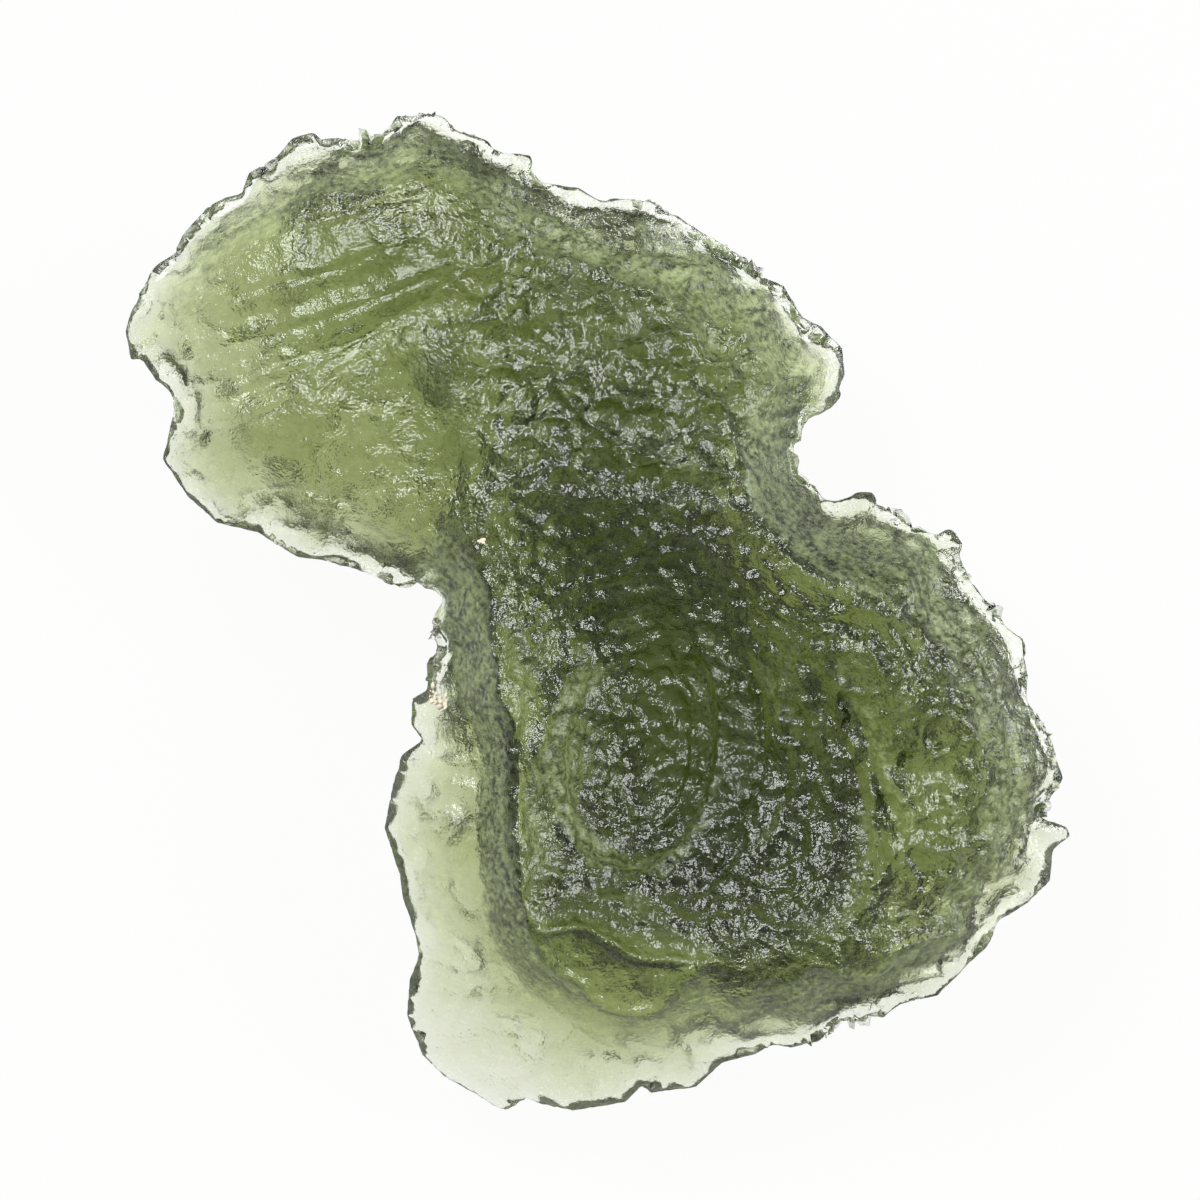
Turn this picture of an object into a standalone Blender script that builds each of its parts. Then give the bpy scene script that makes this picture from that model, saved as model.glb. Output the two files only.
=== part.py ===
"""A moldavite: one natural, etched piece of green glass, lying with its hollow side up.

The stone is a closed sheet of changing thickness: a front with a deep bowl, a back that bulges
down to a small flat that it rests on, and a ragged rim where the two meet.
Lengths are in millimetres until the mesh is made, which is in metres with +Z up.
"""
import bpy
import numpy as np
from mathutils import Vector, noise
from mathutils.geometry import delaunay_2d_cdt

NAME = "moldavite"
METRES = 0.001

# Half the side of a square that holds the stone
REACH = 17.0

# Spacing of the mesh points
RIM_STEP = 0.55
FRONT_STEP = 0.51
BACK_STEP = 0.70
CREASE_STEP = 0.45
RIM_INSET = 0.26
# Least gaps between them, as shares of the spacing
CREASE_GAP = 0.62
GRID_GAP = 0.68
GRID_INSET = 0.75
# A row of points moved sideways keeps those that lie at least this share of the move away
RING_FIT = 0.8

# Thickness, and the wedge that thins the glass towards the rim
THINNEST = 0.45
WEDGE_LEAST = 0.35
WEDGE_MOST = 1.90
WEDGE_SHARE = 1.6
WEDGE_ROUNDING = 1.2

# Lumps all over, as height and width
LUMPS = ((0.16, 2.6), (0.07, 1.2))

# Pits eaten into the glass: spacing, least and greatest radius, least and greatest depth
FRONT_PITS = (1.55, 0.60, 0.95, 0.10, 0.26)
BACK_PITS = (2.30, 0.95, 1.60, 0.15, 0.42)
PIT_SEED = 11
# How far a pit strays from its place in the honeycomb, as a share of the spacing
PIT_STRAY = 0.32
# Depth of the front's pits outside the pitted zones, and the width over which they fade
PITS_ELSEWHERE = 0.25
ZONE_FADE = 1.6
# Length over which a ridge fades at its ends, and the share of its height left at the very end
LINE_FADE = 0.9
LINE_END = 0.15
# The rings come and go: usual strength, how much it changes, and the most
RING_STRENGTH = 0.6
RING_CHANGE = 6.0
RING_MOST = 1.4
# The back's pits stay clear of the flat that the stone rests on
FLAT_CLEAR = 0.1
FLAT_FADE = 1.2

# The rim seen from above, clockwise from the left tip
OUTLINE = (
    # upper left edge
    (-15.2, 9.1), (-15.1, 9.6), (-14.4, 11.0), (-14.2, 11.3), (-13.6, 11.7), (-13.3, 12.3),
    (-12.7, 12.9), (-12.5, 13.2), (-11.4, 13.6), (-11.2, 14.2), (-10.3, 14.7), (-9.8, 15.3),
    (-9.1, 15.5), (-8.8, 15.3), (-7.6, 15.3),
    # top edge
    (-6.9, 15.5), (-6.4, 16.0), (-5.4, 16.1), (-4.9, 16.0), (-4.4, 15.5), (-3.5, 15.2),
    (-3.2, 14.9), (-2.1, 14.7), (-1.8, 13.9), (-0.6, 13.7), (0.1, 13.3), (1.1, 13.4),
    (1.7, 13.3), (2.6, 12.8), (3.8, 12.1), (4.8, 11.5), (5.1, 11.0), (6.0, 10.6),
    # clear shard
    (6.6, 9.6), (7.2, 9.3), (7.9, 8.6), (8.0, 7.7), (7.8, 7.3), (7.9, 7.0), (7.5, 6.6),
    # right notch
    (6.8, 6.2), (6.7, 5.4), (6.4, 5.3), (6.5, 4.5), (7.0, 4.2), (7.3, 3.7), (7.9, 3.8),
    (8.3, 4.0), (8.8, 4.0), (9.0, 3.7), (9.5, 3.3), (10.1, 2.9), (10.9, 2.7), (11.3, 2.9),
    # right lobe
    (11.7, 2.3), (11.6, 1.9), (12.0, 1.1), (12.4, 0.6), (12.8, 0.2), (13.1, -0.3),
    (13.6, -0.7), (13.8, -1.9), (13.8, -2.7), (14.4, -3.8), (14.9, -5.2), (14.4, -6.0),
    (14.2, -6.4), (15.0, -6.7), (15.2, -7.1), (14.6, -7.5), (14.5, -8.5), (13.8, -9.2),
    (12.9, -9.8), (12.5, -10.6), (11.7, -11.4), (10.9, -12.2), (9.7, -12.5), (9.2, -12.9),
    # bottom edge
    (7.8, -13.1), (7.1, -13.7), (6.2, -13.9), (5.6, -13.8), (5.1, -14.1), (4.0, -14.4),
    (3.2, -15.2), (1.7, -15.4), (1.4, -15.2), (0.9, -15.7), (-0.8, -16.0), (-1.8, -15.8),
    (-2.3, -15.6), (-3.0, -16.1),
    # bottom-left corner and left edge
    (-3.6, -15.7), (-5.0, -14.9), (-5.7, -14.2), (-6.2, -12.9), (-6.1, -11.7), (-5.8, -10.9),
    (-5.9, -10.3), (-6.3, -9.1), (-6.4, -8.3), (-6.9, -6.8), (-6.6, -5.4), (-6.3, -4.4),
    (-5.7, -4.0), (-6.0, -3.5), (-6.0, -2.6), (-5.5, -2.3), (-5.5, -1.4), (-5.2, -1.1),
    (-5.4, -0.2), (-5.1, 0.5),
    # lower edge of the upper lobe
    (-5.8, 0.9), (-6.6, 0.9), (-7.7, 1.4), (-8.8, 1.7), (-9.6, 1.8), (-10.9, 2.6),
    (-12.2, 2.9), (-13.2, 3.8), (-14.0, 5.0), (-13.6, 6.6), (-13.7, 7.1), (-14.2, 7.5),
    (-14.6, 8.1), (-15.0, 8.1),
)

# Heights of the front, as x, y, z
BODY_FRONT = (
    # upper lobe
    (-15.1, 9.0, 6.9), (-14.3, 10.9, 7.2), (-11.3, 14.1, 7.3), (-8.2, 15.3, 7.5),
    (-5.0, 16.0, 7.7), (-11.1, 10.1, 8.7), (-13.7, 6.3, 8.2), (-7.9, 12.7, 8.8),
    (-8.6, 6.9, 9.2), (-5.7, 9.1, 9.6), (-5.0, 3.7, 9.8), (-9.5, 1.8, 8.6),
    # middle
    (-3.4, 15.1, 7.9), (-3.1, 11.7, 9.4), (0.1, 13.3, 7.9), (-1.2, 8.5, 9.9), (1.7, 10.1, 9.5),
    (4.7, 11.5, 7.4), (3.9, 7.5, 9.6), (6.5, 9.8, 7.6), (6.8, 6.9, 7.8), (0.1, 5.3, 10.5),
    (-3.4, 4.7, 10.0), (4.6, 4.7, 9.2),
    # bowl
    (0.7, 2.4, 9.5), (0.1, -0.8, 7.9), (1.4, -2.7, 7.0), (1.4, -5.3, 6.6), (1.4, -7.8, 7.0),
    (3.9, -5.3, 6.9), (4.6, -2.1, 7.6), (5.8, -7.8, 7.8), (6.5, -4.6, 7.9), (7.1, -0.8, 9.5),
    (-1.2, -5.9, 7.9), (-0.9, -2.7, 8.4),
    # crest on the left of the bowl and ledge below it
    (-3.8, 1.9, 9.7), (-3.1, -1.1, 9.9), (-2.4, -4.3, 9.8), (-2.5, -7.5, 9.6),
    (-2.1, -10.1, 9.2), (0.1, -10.1, 8.9), (3.0, -11.2, 8.8), (0.1, -12.3, 8.1),
    (5.8, -11.7, 8.6), (8.4, -11.3, 8.4),
    # right lobe
    (9.7, -0.8, 9.8), (10.6, -2.7, 9.9), (9.0, -4.6, 9.2), (8.7, -7.8, 8.7), (11.6, -7.8, 8.7),
    (11.0, -11.0, 7.4), (12.9, -0.8, 8.1), (13.7, -2.7, 7.7), (14.7, -5.3, 6.9),
    (14.5, -7.5, 6.2), (12.9, -9.1, 7.2), (12.6, -5.6, 9.2), (10.3, 0.8, 9.2),
    (11.4, 2.4, 7.6), (8.4, -12.9, 6.9), (5.8, -13.7, 6.8),
)
FLANGE_FRONT = (
    (-4.9, -0.1, 7.7), (-3.4, -0.1, 9.0), (-6.0, -2.7, 6.7), (-3.4, -3.3, 8.6),
    (-4.4, -5.3, 7.8), (-6.3, -5.9, 6.0), (-3.1, -6.5, 8.4), (-4.7, -8.1, 7.3),
    (-6.2, -9.1, 5.7), (-2.8, -9.1, 8.1), (-5.7, -11.7, 5.1), (-6.2, -12.9, 4.7),
    (-4.1, -13.3, 5.3), (-5.0, -14.9, 4.5), (-3.0, -15.8, 4.4), (-1.8, -11.7, 7.5),
    (0.1, -13.1, 7.0), (0.1, -15.5, 5.7), (3.3, -15.0, 5.9), (3.3, -12.9, 7.5),
    (4.2, -11.3, 8.4),
)
PLATE_FRONT = (
    (-6.3, 9.1, 9.4), (-5.0, 6.9, 9.4), (-3.9, 4.7, 9.5), (-4.6, 1.5, 8.8), (-9.5, 5.3, 8.9),
    (-13.0, 6.9, 8.3), (-13.8, 5.3, 7.4), (-12.1, 2.9, 7.0), (-8.6, 1.6, 7.4),
    (-11.1, 8.5, 8.8),
)
NOTCH_FRONT = (
    (5.2, 5.3, 8.9), (5.4, 3.7, 8.9), (6.5, 4.7, 8.0), (6.5, 3.1, 8.4), (8.1, 1.8, 8.6),
    (8.1, 3.7, 7.8), (9.4, 1.0, 9.0), (9.7, 2.4, 8.0), (10.6, 1.8, 8.2),
)
SHARD_FRONT = (
    (4.7, 10.6, 6.4), (5.8, 9.5, 6.0), (7.4, 8.8, 5.8), (7.9, 6.9, 5.7), (6.5, 6.6, 5.8),
)

# Heights of the back, as x, y, z. Below zero it is cut off flat, where the stone rests.
BACK = (
    # upper lobe
    (-15.1, 9.0, 5.6), (-14.3, 10.9, 5.1), (-11.8, 8.2, 5.9), (-13.5, 5.0, 5.8),
    (-12.1, 2.9, 5.8), (-11.1, 12.3, 5.3), (-9.5, 5.3, 5.4), (-8.6, 1.6, 6.0),
    (-5.2, 0.8, 5.4), (-6.3, 5.9, 5.3), (-8.2, 15.3, 5.1), (-5.0, 16.0, 5.2),
    (-7.3, 12.0, 4.3), (-5.7, 9.5, 4.5), (-4.7, 3.7, 5.0),
    # middle
    (-3.1, 11.7, 4.0), (-3.4, 15.1, 6.2), (0.1, 13.3, 6.0), (-0.6, 10.1, 3.3), (1.7, 10.1, 3.5),
    (4.7, 11.5, 5.5), (3.9, 7.5, 3.5), (0.1, 6.9, 3.0), (-3.1, 6.3, 4.4), (-2.5, 3.7, 3.9),
    (6.5, 9.8, 5.4), (7.9, 7.5, 5.3), (6.8, 6.6, 5.2),
    # belly under the bowl
    (-1.4, 3.1, 2.8), (0.1, 0.8, -0.1), (1.4, 3.0, 0.6), (1.4, -1.1, -0.5), (1.4, -5.3, -0.2),
    (1.4, -7.8, 0.6), (3.5, -2.7, -0.2), (5.8, -2.7, 0.6), (5.8, -7.2, 0.2), (3.6, 0.8, -0.2),
    (5.2, 3.7, 4.9), (4.0, 3.4, 3.7), (-0.4, -2.7, 0.6), (-0.2, -7.5, 1.4),
    # right lobe
    (7.1, 1.8, 4.9), (9.7, 2.4, 5.4), (11.4, 2.4, 5.7), (8.1, 4.0, 5.6), (9.0, -0.8, 3.7),
    (10.6, -2.7, 4.0), (12.9, -0.8, 5.8), (14.7, -5.3, 5.8), (12.6, -5.6, 4.3),
    (9.0, -5.9, 2.6), (11.6, -8.5, 4.7), (14.3, -7.5, 5.2), (11.0, -11.3, 5.4),
    (8.4, -10.4, 3.4), (8.4, -12.9, 5.1),
    # bottom and left flange
    (1.4, -10.4, 3.5), (3.6, -11.7, 4.6), (3.3, -15.0, 4.8), (0.1, -13.1, 4.7),
    (0.1, -15.5, 4.9), (5.2, -13.9, 5.0), (-3.1, 0.5, 4.4), (-4.9, -0.1, 5.3),
    (-6.0, -2.7, 5.7), (-2.7, -4.3, 5.0), (-6.3, -5.9, 5.1), (-4.7, -8.1, 5.0),
    (-6.2, -9.1, 4.7), (-2.3, -7.6, 4.8), (-2.2, -9.6, 4.6), (-5.7, -11.7, 4.2), (-4.1, -13.3, 4.4),
    (-5.0, -14.9, 3.9), (-3.0, -15.8, 3.8), (-1.8, -11.7, 4.5),
)

# How far the whole sheet of glass bends up or down, as x, y, rise
SWAY = (
    (-15.2, 8.6, -1.3), (-11.0, 4.0, -0.7), (-12.0, 13.0, -0.3), (-6.0, 15.8, 0.9),
    (1.5, 13.2, 0.2), (7.8, 8.0, -0.5), (10.5, 3.0, 0.5), (14.8, -5.5, 1.2), (12.5, -10.0, 0.5),
    (5.5, -13.8, -0.3), (0.0, -15.8, -0.9), (-4.5, -14.8, -1.0), (-6.4, -8.0, -0.1),
    (-5.6, -1.5, 0.3), (-4.0, 5.0, 0.0), (1.0, 7.0, 0.0), (1.4, 0.0, 0.0), (2.0, -4.0, 0.0),
    (1.4, -9.0, 0.0), (6.5, -4.0, 0.0),
)

# Edges of the broken faces that cut into the front
FLANGE_REGION = (
    (-6.6, 0.6), (-5.3, 0.3), (-4.4, 0.2), (-3.7, -0.3), (-3.3, -1.3), (-3.0, -2.7),
    (-2.4, -4.0), (-2.5, -5.9), (-2.5, -7.5), (-2.4, -9.1), (-2.1, -10.3), (-1.2, -11.5),
    (-0.3, -12.0), (0.3, -12.6), (1.7, -12.8), (2.6, -12.0), (3.3, -11.1), (4.5, -11.0),
    (5.0, -12.3), (4.9, -14.2), (4.7, -16.1), (-3.1, -17.4), (-7.9, -14.2), (-8.6, -4.6),
)
PLATE_REGION = (
    (-15.0, 6.9), (-14.0, 7.4), (-12.1, 7.9), (-9.5, 8.7), (-7.1, 9.4), (-6.3, 9.3),
    (-5.5, 8.4), (-4.8, 7.6), (-3.8, 6.1), (-3.4, 5.5), (-3.1, 4.3), (-3.7, 2.7),
    (-4.1, 0.7), (-5.0, -0.8), (-9.5, -0.1), (-14.3, 2.4), (-15.3, 5.0),
)
NOTCH_REGION = (
    (5.4, 6.7), (4.9, 5.9), (4.8, 4.8), (4.9, 3.6), (5.7, 2.7), (6.5, 1.9), (7.4, 1.3),
    (8.8, 0.6), (10.1, 0.9), (9.9, 1.8), (10.8, 2.5), (11.6, 3.7), (9.0, 5.3), (7.4, 5.9),
)
SHARD_REGION = (
    (4.5, 11.3), (4.9, 10.1), (5.5, 8.7), (5.5, 7.5), (6.9, 7.7), (7.0, 6.1), (8.7, 5.9),
    (9.0, 8.8), (7.1, 10.4), (5.7, 11.7),
)
# The broken faces, as edge, heights and the width of the slope that leads down from the edge
BROKEN_FACES = (
    (PLATE_REGION, PLATE_FRONT, 1.60),
    (NOTCH_REGION, NOTCH_FRONT, 1.60),
    (SHARD_REGION, SHARD_FRONT, 1.20),
    (FLANGE_REGION, FLANGE_FRONT, 1.20),
)

# Where pits crowd the front
PITTED_ZONES = (
    # middle
    ((-4.9, 10.8), (0.0, 12.4), (4.2, 11.2), (5.4, 8.6), (4.7, 5.4), (4.4, 2.4), (0.5, 3.2),
     (-2.6, 4.6), (-3.6, 6.6), (-5.4, 9.2)),
    # right lobe
    ((7.6, 0.0), (10.4, 0.6), (12.4, -0.8), (13.6, -3.4), (14.0, -6.0), (13.2, -8.6),
     (10.4, -10.2), (8.6, -9.4), (8.4, -6.0), (7.0, -2.4)),
)

# Ridges and grooves on the front: width, height (below zero for a groove), and points
FRONT_LINES = (
    # flow furrows across the upper lobe
    (0.40, -0.26, ((-14.0, 7.4), (-12.1, 7.9), (-9.5, 8.7), (-6.3, 9.6), (-4.7, 10.2))),
    (0.40, -0.16, ((-12.2, 6.6), (-9.8, 7.6), (-7.9, 8.5), (-5.4, 9.6))),
    (0.40, -0.18, ((-12.6, 9.1), (-10.2, 9.7), (-7.9, 10.4), (-5.7, 11.3))),
    # lines along the top of the middle
    (0.40, -0.30, ((-1.8, 13.0), (0.1, 12.1), (1.7, 11.6), (4.6, 11.7))),
    (0.45, 0.28, ((-1.5, 7.7), (0.1, 5.9), (1.7, 5.0), (3.3, 4.7))),
    # long grooves on the right lobe
    (0.40, -0.32, ((8.9, -0.5), (9.4, -1.1), (9.9, -1.7))),
    (0.40, -0.35, ((7.6, -2.4), (8.4, -3.7), (9.0, -5.6), (9.7, -7.0))),
    (0.42, -0.40, ((7.8, -4.6), (8.1, -5.9), (8.1, -7.5), (7.7, -9.1), (7.2, -10.4))),
    # smooth band that curves through the bowl
    (0.60, 0.55, ((3.3, -0.8), (4.0, -2.1), (4.2, -3.3), (4.0, -5.6), (3.1, -7.5), (1.4, -8.8))),
    # arcs on the bowl's left wall
    (0.45, 0.35, ((-0.2, -1.1), (-1.2, -2.7), (-1.5, -4.6), (-1.0, -6.9), (0.4, -8.5))),
    # crest left of the bowl
    (0.45, 0.20, ((-2.6, 4.5), (-3.7, 2.3), (-3.9, 1.7), (-3.4, 0.5), (-3.0, -1.1), (-2.8, -2.7),
                  (-2.2, -4.0), (-2.3, -5.9), (-2.3, -7.5), (-2.2, -9.1), (-1.9, -10.1))),
    # crest right of the bowl
    (0.45, 0.30, ((4.7, 5.6), (4.7, 3.5), (5.5, 2.3), (7.3, 1.0), (9.2, 0.2))),
    # ledges below the bowl
    (0.45, 0.25, ((-2.0, -10.1), (-0.6, -9.9), (0.4, -10.4), (1.4, -10.9), (3.0, -10.9))),
    (0.45, 0.22, ((-1.5, -11.3), (-0.6, -11.6), (0.2, -12.4), (1.7, -12.6), (2.5, -11.8))),
    (0.40, 0.40, ((7.1, -11.0), (8.1, -11.5), (9.0, -11.2), (9.8, -10.5), (12.1, -9.9))),
    (0.40, -0.35, ((7.1, -12.0), (8.7, -11.9), (10.6, -11.6), (11.6, -11.2))),
    # inner edge of the bevel along the upper left rim
    (0.40, -0.28, ((-14.3, 10.4), (-13.4, 11.7), (-12.7, 12.5), (-11.4, 13.3), (-11.0, 14.0),
                   (-9.8, 14.9), (-8.1, 15.1))),
)

# Round hollows on the front, as x, y, radius and depth
HOLLOWS = (
    # ring pit on the right lobe and the small bite beside the notch
    (10.8, -4.9, 1.60, 0.85), (11.0, 0.5, 1.20, 0.50),
    # small pit on the upper lobe
    (-7.5, 10.6, 0.80, 0.30),
    # row of cups down the flange
    (-3.9, -4.0, 0.70, 0.30), (-3.9, -5.1, 0.70, 0.30), (-4.1, -6.1, 0.80, 0.35),
)
# Shell-like rings round a point, as x, y, first and last radius, spacing and height
RINGS = (
    (-3.1, -13.6, 0.6, 2.6, 1.00, 0.06),
    (1.7, -4.6, 2.2, 5.0, 1.25, 0.11),
    (10.8, -4.9, 1.6, 3.0, 1.10, 0.10),
)
# Deep furrows on the back: width, height and points
BACK_LINES = (
    (0.80, 0.35, ((-12.8, 4.8), (-9.8, 7.4), (-6.4, 9.2), (-3.0, 9.8))),
    (0.70, 0.32, ((-8.6, 14.0), (-5.0, 12.2), (-1.4, 11.6), (2.4, 11.4))),
    (0.80, 0.35, ((11.0, 0.6), (9.4, -2.6), (9.8, -7.0), (8.6, -10.0))),
    (0.75, 0.40, ((-0.6, -1.6), (0.2, -6.2), (1.4, -9.4), (4.2, -11.6))),
    (0.80, 0.40, ((-3.4, 6.4), (-0.8, 7.0), (1.6, 7.6), (3.4, 7.4))),
)

GLASS_COLOUR = (0.30, 0.38, 0.16, 1.0)
GLASS_ROUGHNESS = 0.22
GLASS_IOR = 1.50


def clear_scene():
    """Empty the scene."""
    for item in list(bpy.data.objects):
        bpy.data.objects.remove(item, do_unlink=True)


def smooth_step(value):
    """Ease from 0 to 1."""
    t = np.clip(value, 0.0, 1.0)
    return t * t * (3.0 - 2.0 * t)


def smooth_line(points, step, closed=False):
    """Evenly spaced points on a smooth curve through the given ones."""
    p = np.array(points, dtype=float)
    if closed:
        p = np.vstack([p[-1], p, p[0], p[1]])
    else:
        p = np.vstack([2.0 * p[0] - p[1], p, 2.0 * p[-1] - p[-2]])
    pieces = []
    for a, b, c, d in zip(p[:-3], p[1:-2], p[2:-1], p[3:]):
        count = max(1, round(float(np.linalg.norm(c - b)) / step))
        t = np.arange(count)[:, None] / count
        curl = 2.0 * a - 5.0 * b + 4.0 * c - d + t * (3.0 * b - a - 3.0 * c + d)
        pieces.append(b + 0.5 * t * (c - a + t * curl))
    if not closed:
        pieces.append(p[-2:-1])
    return np.vstack(pieces)


def straight_loop(points, step):
    """A closed line with straight sides, its long sides divided."""
    p = np.array(points, dtype=float)
    pieces = []
    for a, b in zip(p, np.roll(p, -1, axis=0)):
        count = max(1, round(float(np.linalg.norm(b - a)) / step))
        t = np.arange(count)[:, None] / count
        pieces.append(a + t * (b - a))
    return np.vstack(pieces)


def distance_to_line(xy, line, closed=False):
    """Distance from each point to a line of straight pieces."""
    start = line if closed else line[:-1]
    end = np.roll(line, -1, axis=0) if closed else line[1:]
    run = end - start
    away = xy[:, None, :] - start[None, :, :]
    along = np.sum(away * run, axis=2) / np.sum(run * run, axis=1)
    gap = away - np.clip(along, 0.0, 1.0)[:, :, None] * run
    return np.sqrt(np.min(np.sum(gap * gap, axis=2), axis=1))


def depth_inside(xy, loop):
    """Distance from a closed line: above zero inside it and below zero outside."""
    a = loop
    b = np.roll(loop, -1, axis=0)
    y = xy[:, 1, None]
    spans = (a[:, 1] > y) != (b[:, 1] > y)
    rise = np.where(spans, b[:, 1] - a[:, 1], 1.0)
    cross = a[:, 0] + (y - a[:, 1]) * (b[:, 0] - a[:, 0]) / rise
    hits = np.sum(spans & (xy[:, 0, None] < cross), axis=1)
    sign = np.where(hits % 2 == 1, 1.0, -1.0)
    return sign * distance_to_line(xy, loop, closed=True)


def bend(gap):
    """How a thin springy sheet sags at a distance from where it is held."""
    return gap * gap * np.log(gap + 1e-6)


def sheet_through(places, xy):
    """Height at xy of a smooth sheet held at the given places."""
    held = np.array(places, dtype=float)
    spots = held[:, :2]
    count = len(held)
    apart = np.linalg.norm(spots[:, None, :] - spots[None, :, :], axis=2)
    flat = np.hstack([np.ones((count, 1)), spots])
    square = np.block([[bend(apart), flat], [flat.T, np.zeros((3, 3))]])
    weights = np.linalg.solve(square, np.concatenate([held[:, 2], np.zeros(3)]))
    gaps = np.linalg.norm(xy[:, None, :] - spots[None, :, :], axis=2)
    return bend(gaps) @ weights[:count] + weights[count] + xy @ weights[count + 1:]


def lumps(xy, seed):
    """Low irregular swellings."""
    total = np.zeros(len(xy))
    for height, width in LUMPS:
        spots = [Vector((x / width, y / width, seed)) for x, y in xy]
        total += height * np.array([noise.noise(spot) for spot in spots])
    return total


def hex_points(step):
    """A honeycomb of points over the square that holds the stone."""
    rows = np.arange(-REACH, REACH, step * np.sqrt(0.75))
    across = np.arange(-REACH, REACH, step)
    grid = [np.column_stack([across + step * 0.5 * (k % 2), np.full(len(across), y)])
            for k, y in enumerate(rows)]
    return np.vstack(grid)


def pits(xy, kind, seed):
    """Depth of crowded round pits that meet in sharp crests."""
    spacing, least, most, shallow, deep = kind
    rng = np.random.default_rng(seed)
    centres = hex_points(spacing)
    centres = centres + rng.uniform(-PIT_STRAY, PIT_STRAY, centres.shape) * spacing
    radii = rng.uniform(least, most, len(centres))
    depths = rng.uniform(shallow, deep, len(centres))
    gaps = np.linalg.norm(xy[:, None, :] - centres[None, :, :], axis=2)
    bowls = depths * (1.0 - (gaps / radii) ** 2)
    return np.max(np.maximum(bowls, 0.0), axis=1)


def raise_lines(xy, lines):
    """Height of ridges and grooves that fade towards their ends."""
    total = np.zeros(len(xy))
    for width, height, points in lines:
        line = smooth_line(points, CREASE_STEP)
        gap = distance_to_line(xy, line)
        ends = np.minimum(np.linalg.norm(xy - line[0], axis=1), np.linalg.norm(xy - line[-1], axis=1))
        total += height * np.exp(-(gap / width) ** 2) * smooth_step(ends / LINE_FADE + LINE_END)
    return total


def raise_rings(xy):
    """Height of the shell-like rings."""
    total = np.zeros(len(xy))
    for x, y, first, last, spacing, height in RINGS:
        radius = np.linalg.norm(xy - (x, y), axis=1)
        inside = smooth_step((radius - first) / spacing + 0.5) * smooth_step((last - radius) / spacing + 0.5)
        broken = np.clip(RING_STRENGTH + RING_CHANGE * lumps(xy, 3.0), 0.0, RING_MOST)
        total += height * inside * broken * np.cos(2.0 * np.pi * (radius - first) / spacing)
    return total


def hollow_out(xy):
    """Depth of the single round hollows."""
    total = np.zeros(len(xy))
    for x, y, radius, depth in HOLLOWS:
        gap = np.linalg.norm(xy - (x, y), axis=1) / radius
        total = np.maximum(total, depth * (1.0 - gap ** 2))
    return total


def front_height(xy):
    """Height of the hollow side."""
    z = sheet_through(BODY_FRONT, xy)
    for region, heights, slope in BROKEN_FACES:
        depth = depth_inside(xy, smooth_line(region, CREASE_STEP, closed=True))
        share = np.clip(depth / slope, 0.0, 1.0)
        z = z + share * (sheet_through(heights, xy) - z)
    crowd = np.zeros(len(xy))
    for zone in PITTED_ZONES:
        depth = depth_inside(xy, smooth_line(zone, CREASE_STEP, closed=True))
        crowd = np.maximum(crowd, smooth_step(0.5 + depth / ZONE_FADE))
    z = z - pits(xy, FRONT_PITS, PIT_SEED) * (PITS_ELSEWHERE + (1.0 - PITS_ELSEWHERE) * crowd)
    z = z + lumps(xy, 0.0) + raise_lines(xy, FRONT_LINES) + raise_rings(xy) - hollow_out(xy)
    return z + sheet_through(SWAY, xy)


def back_height(xy):
    """Height of the bulging side, flat where the stone rests."""
    base = sheet_through(BACK, xy) + sheet_through(SWAY, xy)
    away = smooth_step((base - FLAT_CLEAR) / FLAT_FADE)
    eaten = pits(xy, BACK_PITS, PIT_SEED + 1) + lumps(xy, 7.0) + raise_lines(xy, BACK_LINES)
    return np.maximum(base + away * eaten, 0.0)


def thin_rim(front, back, inset):
    """Draw front and back together towards the rim, in a wedge."""
    middle = 0.5 * (front + back)
    half = 0.5 * np.maximum(front - back, THINNEST)
    wedge = np.clip(WEDGE_SHARE * half, WEDGE_LEAST, WEDGE_MOST)
    left = 1.0 - np.clip(inset / wedge, 0.0, 1.0)
    swell = half * (1.0 - left ** WEDGE_ROUNDING)
    return middle + swell, middle - swell


def beside(line, gap):
    """The closed line moved sideways."""
    ahead = np.roll(line, -1, axis=0) - np.roll(line, 1, axis=0)
    ahead = ahead / np.linalg.norm(ahead, axis=1)[:, None]
    return line + gap * np.column_stack([ahead[:, 1], -ahead[:, 0]])


def inset_ring(rim):
    """Points just inside the rim."""
    ring = beside(rim, RIM_INSET)
    return ring[depth_inside(ring, rim) > RING_FIT * RIM_INSET]


def foot_of(edge, slope):
    """Points along the foot of a slope, inside its edge."""
    both = np.vstack([beside(edge, slope), beside(edge, -slope)])
    return both[depth_inside(both, edge) > RING_FIT * slope]


def crease_points():
    """Points that keep the top and the foot of each slope, and each ridge, sharp in the mesh."""
    rows = []
    for region, _, slope in BROKEN_FACES:
        edge = smooth_line(region, CREASE_STEP, closed=True)
        rows += [edge, foot_of(edge, slope)]
    rows += [smooth_line(points, CREASE_STEP) for _, _, points in FRONT_LINES]
    return np.vstack(rows)


def thin_out(xy, least):
    """Drop each point that is too near one already kept."""
    kept = np.empty((0, 2))
    for point in xy:
        near = kept.size and np.min(np.linalg.norm(kept - point, axis=1)) < least
        if not near:
            kept = np.vstack([kept, point])
    return kept


def inner_points(rim, step, extra):
    """Mesh points inside the rim: a ring, the extra ones, and a honeycomb between them."""
    fixed = thin_out(np.vstack([inset_ring(rim), extra]), CREASE_GAP * step)
    fixed = fixed[depth_inside(fixed, rim) > GRID_INSET * RIM_INSET]
    grid = hex_points(step)
    grid = grid[depth_inside(grid, rim) > GRID_INSET * step]
    clear = [np.min(np.linalg.norm(fixed - point, axis=1)) > GRID_GAP * step for point in grid]
    return np.vstack([fixed, grid[clear]])


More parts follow.
